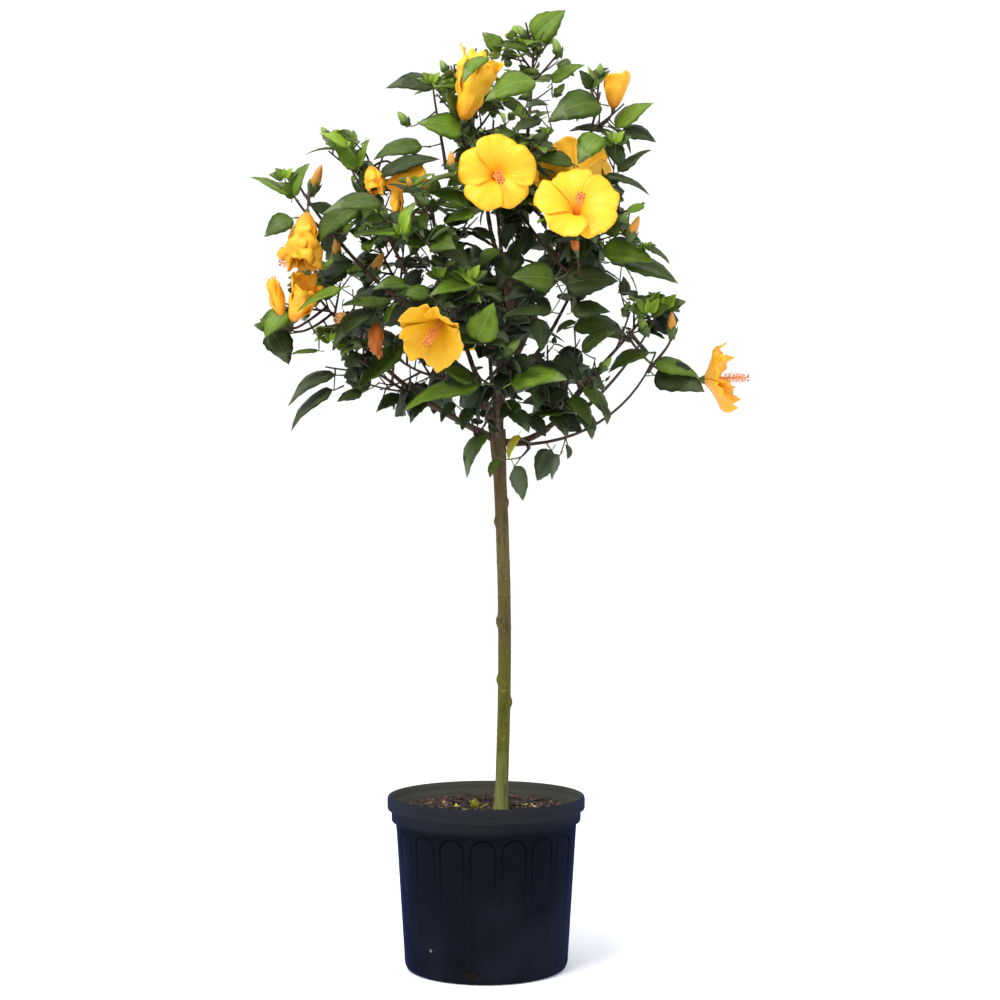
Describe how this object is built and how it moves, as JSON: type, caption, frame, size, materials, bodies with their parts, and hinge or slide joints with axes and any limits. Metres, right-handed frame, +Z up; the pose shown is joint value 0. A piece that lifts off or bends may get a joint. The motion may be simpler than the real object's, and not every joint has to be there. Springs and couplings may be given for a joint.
{
  "type": "potted hibiscus standard",
  "caption": "Yellow-flowered hibiscus shrub grown as a small standard tree: one bare trunk, an open round crown of leafy twigs and broad flowers, in a black fluted nursery pot.",
  "frame": {"origin": "centre of the pot's flat underside", "axes": "+Z up along the trunk; -Y towards the viewer of the picture; +X to the viewer's right"},
  "size_m": [0.6383, 0.575, 1.2276],
  "materials": {
    "pot": "semi-matte black moulded plastic",
    "soil": "loose dark bark mix",
    "bark": "rough olive-brown bark",
    "twig": "smooth dark red-brown young bark",
    "foliage": "soft satin leaves"
  },
  "bodies": {
    "root": {"pot": "pot", "soil": "soil", "trunk": "bark", "leader_bough": "twig", "front_bough": "twig", "left_high_bough": "twig", "left_low_bough": "twig", "right_far_bough": "twig", "back_bough": "twig", "upper_left_bough": "twig", "left_far_bough": "twig", "lower_left_bough": "twig", "front_low_bough": "twig", "right_high_bough": "twig", "right_mid_bough": "twig", "right_low_bough": "twig", "centre_high_bough": "twig", "back_high_bough": "twig", "back_left_bough": "twig", "back_right_bough": "twig", "back_low_left_bough": "twig", "back_low_right_bough": "twig", "fork_left_bough": "twig", "fork_right_bough": "twig", "leader_foliage": "foliage", "front_foliage": "foliage", "left_high_foliage": "foliage", "left_low_foliage": "foliage", "right_far_foliage": "foliage", "back_foliage": "foliage", "upper_left_foliage": "foliage", "left_far_foliage": "foliage", "lower_left_foliage": "foliage", "front_low_foliage": "foliage", "right_high_foliage": "foliage", "right_mid_foliage": "foliage", "right_low_foliage": "foliage", "centre_high_foliage": "foliage", "back_high_foliage": "foliage", "back_left_foliage": "foliage", "back_right_foliage": "foliage", "back_low_left_foliage": "foliage", "back_low_right_foliage": "foliage", "fork_left_foliage": "foliage", "fork_right_foliage": "foliage"}
  },
  "joints": []
}
